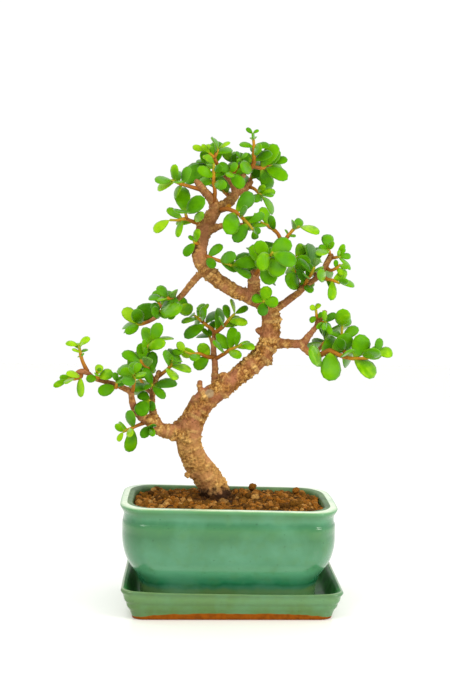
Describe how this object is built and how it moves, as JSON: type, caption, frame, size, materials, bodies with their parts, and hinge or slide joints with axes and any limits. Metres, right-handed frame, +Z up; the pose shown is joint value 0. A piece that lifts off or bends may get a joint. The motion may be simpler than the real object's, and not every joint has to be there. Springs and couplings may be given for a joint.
{
  "type": "potted bonsai tree",
  "caption": "Bonsai tree with a winding bare trunk and sprays of small fleshy paired leaves, in a glazed rounded rectangular pot on a drip tray.",
  "frame": {"origin": "middle of the drip tray's flat underside, on the surface it stands on", "axes": "+Z up, front of the tree towards -Y, +X to the right seen from the front"},
  "size_m": [0.2381, 0.1128, 0.3433],
  "materials": {
    "tray_glaze": "glossy green glaze over a bare terracotta foot edge",
    "pot_glaze": "glossy jade green glaze, paler on the belly and darker in the hollows",
    "soil": "loose fired clay grains, matte, damp round the trunk",
    "bark": "rough warm brown bark with knobs and ring scars",
    "leaf": "smooth fleshy green leaf with a soft wax gloss"
  },
  "bodies": {
    "root": {"drip_tray": "tray_glaze", "pot": "pot_glaze", "soil": "soil", "trunk": "bark", "centre_back": "leaf", "centre_right_twig": "leaf", "centre_rosette": "leaf", "centre_top": "leaf", "crown_back": "leaf", "crown_back_right": "leaf", "crown_behind_left": "leaf", "crown_behind_mid": "leaf", "crown_dark_twig": "leaf", "crown_high": "leaf", "crown_inner": "leaf", "crown_left_tip": "leaf", "crown_mid": "leaf", "far_left_high": "leaf", "far_left_low": "leaf", "fork_rosette": "leaf", "left_back": "leaf", "left_hump": "leaf", "left_low": "leaf", "left_low_leaf": "leaf", "left_lower_pair": "leaf", "left_mid": "leaf", "left_pair_twig": "leaf", "left_riser_low": "leaf", "left_riser_side": "leaf", "left_stub_twig": "leaf", "left_tall": "leaf", "mid_back": "leaf", "mid_left": "leaf", "mid_right": "leaf", "mid_top": "leaf", "right_arm_tip": "leaf", "right_back": "leaf", "right_crown": "leaf", "right_inner": "leaf", "right_inner_front": "leaf", "right_low_back": "leaf", "right_low_far": "leaf", "right_low_side": "leaf", "right_low_top": "leaf", "right_side_low": "leaf", "right_side_tail": "leaf", "top_left_twig": "leaf", "trunk_left_leaf": "leaf", "trunk_right_twig": "leaf", "upper_left_back": "leaf", "upper_left_mid": "leaf", "upper_left_rear": "leaf", "upper_left_tip": "leaf", "upper_left_top": "leaf"}
  },
  "joints": []
}
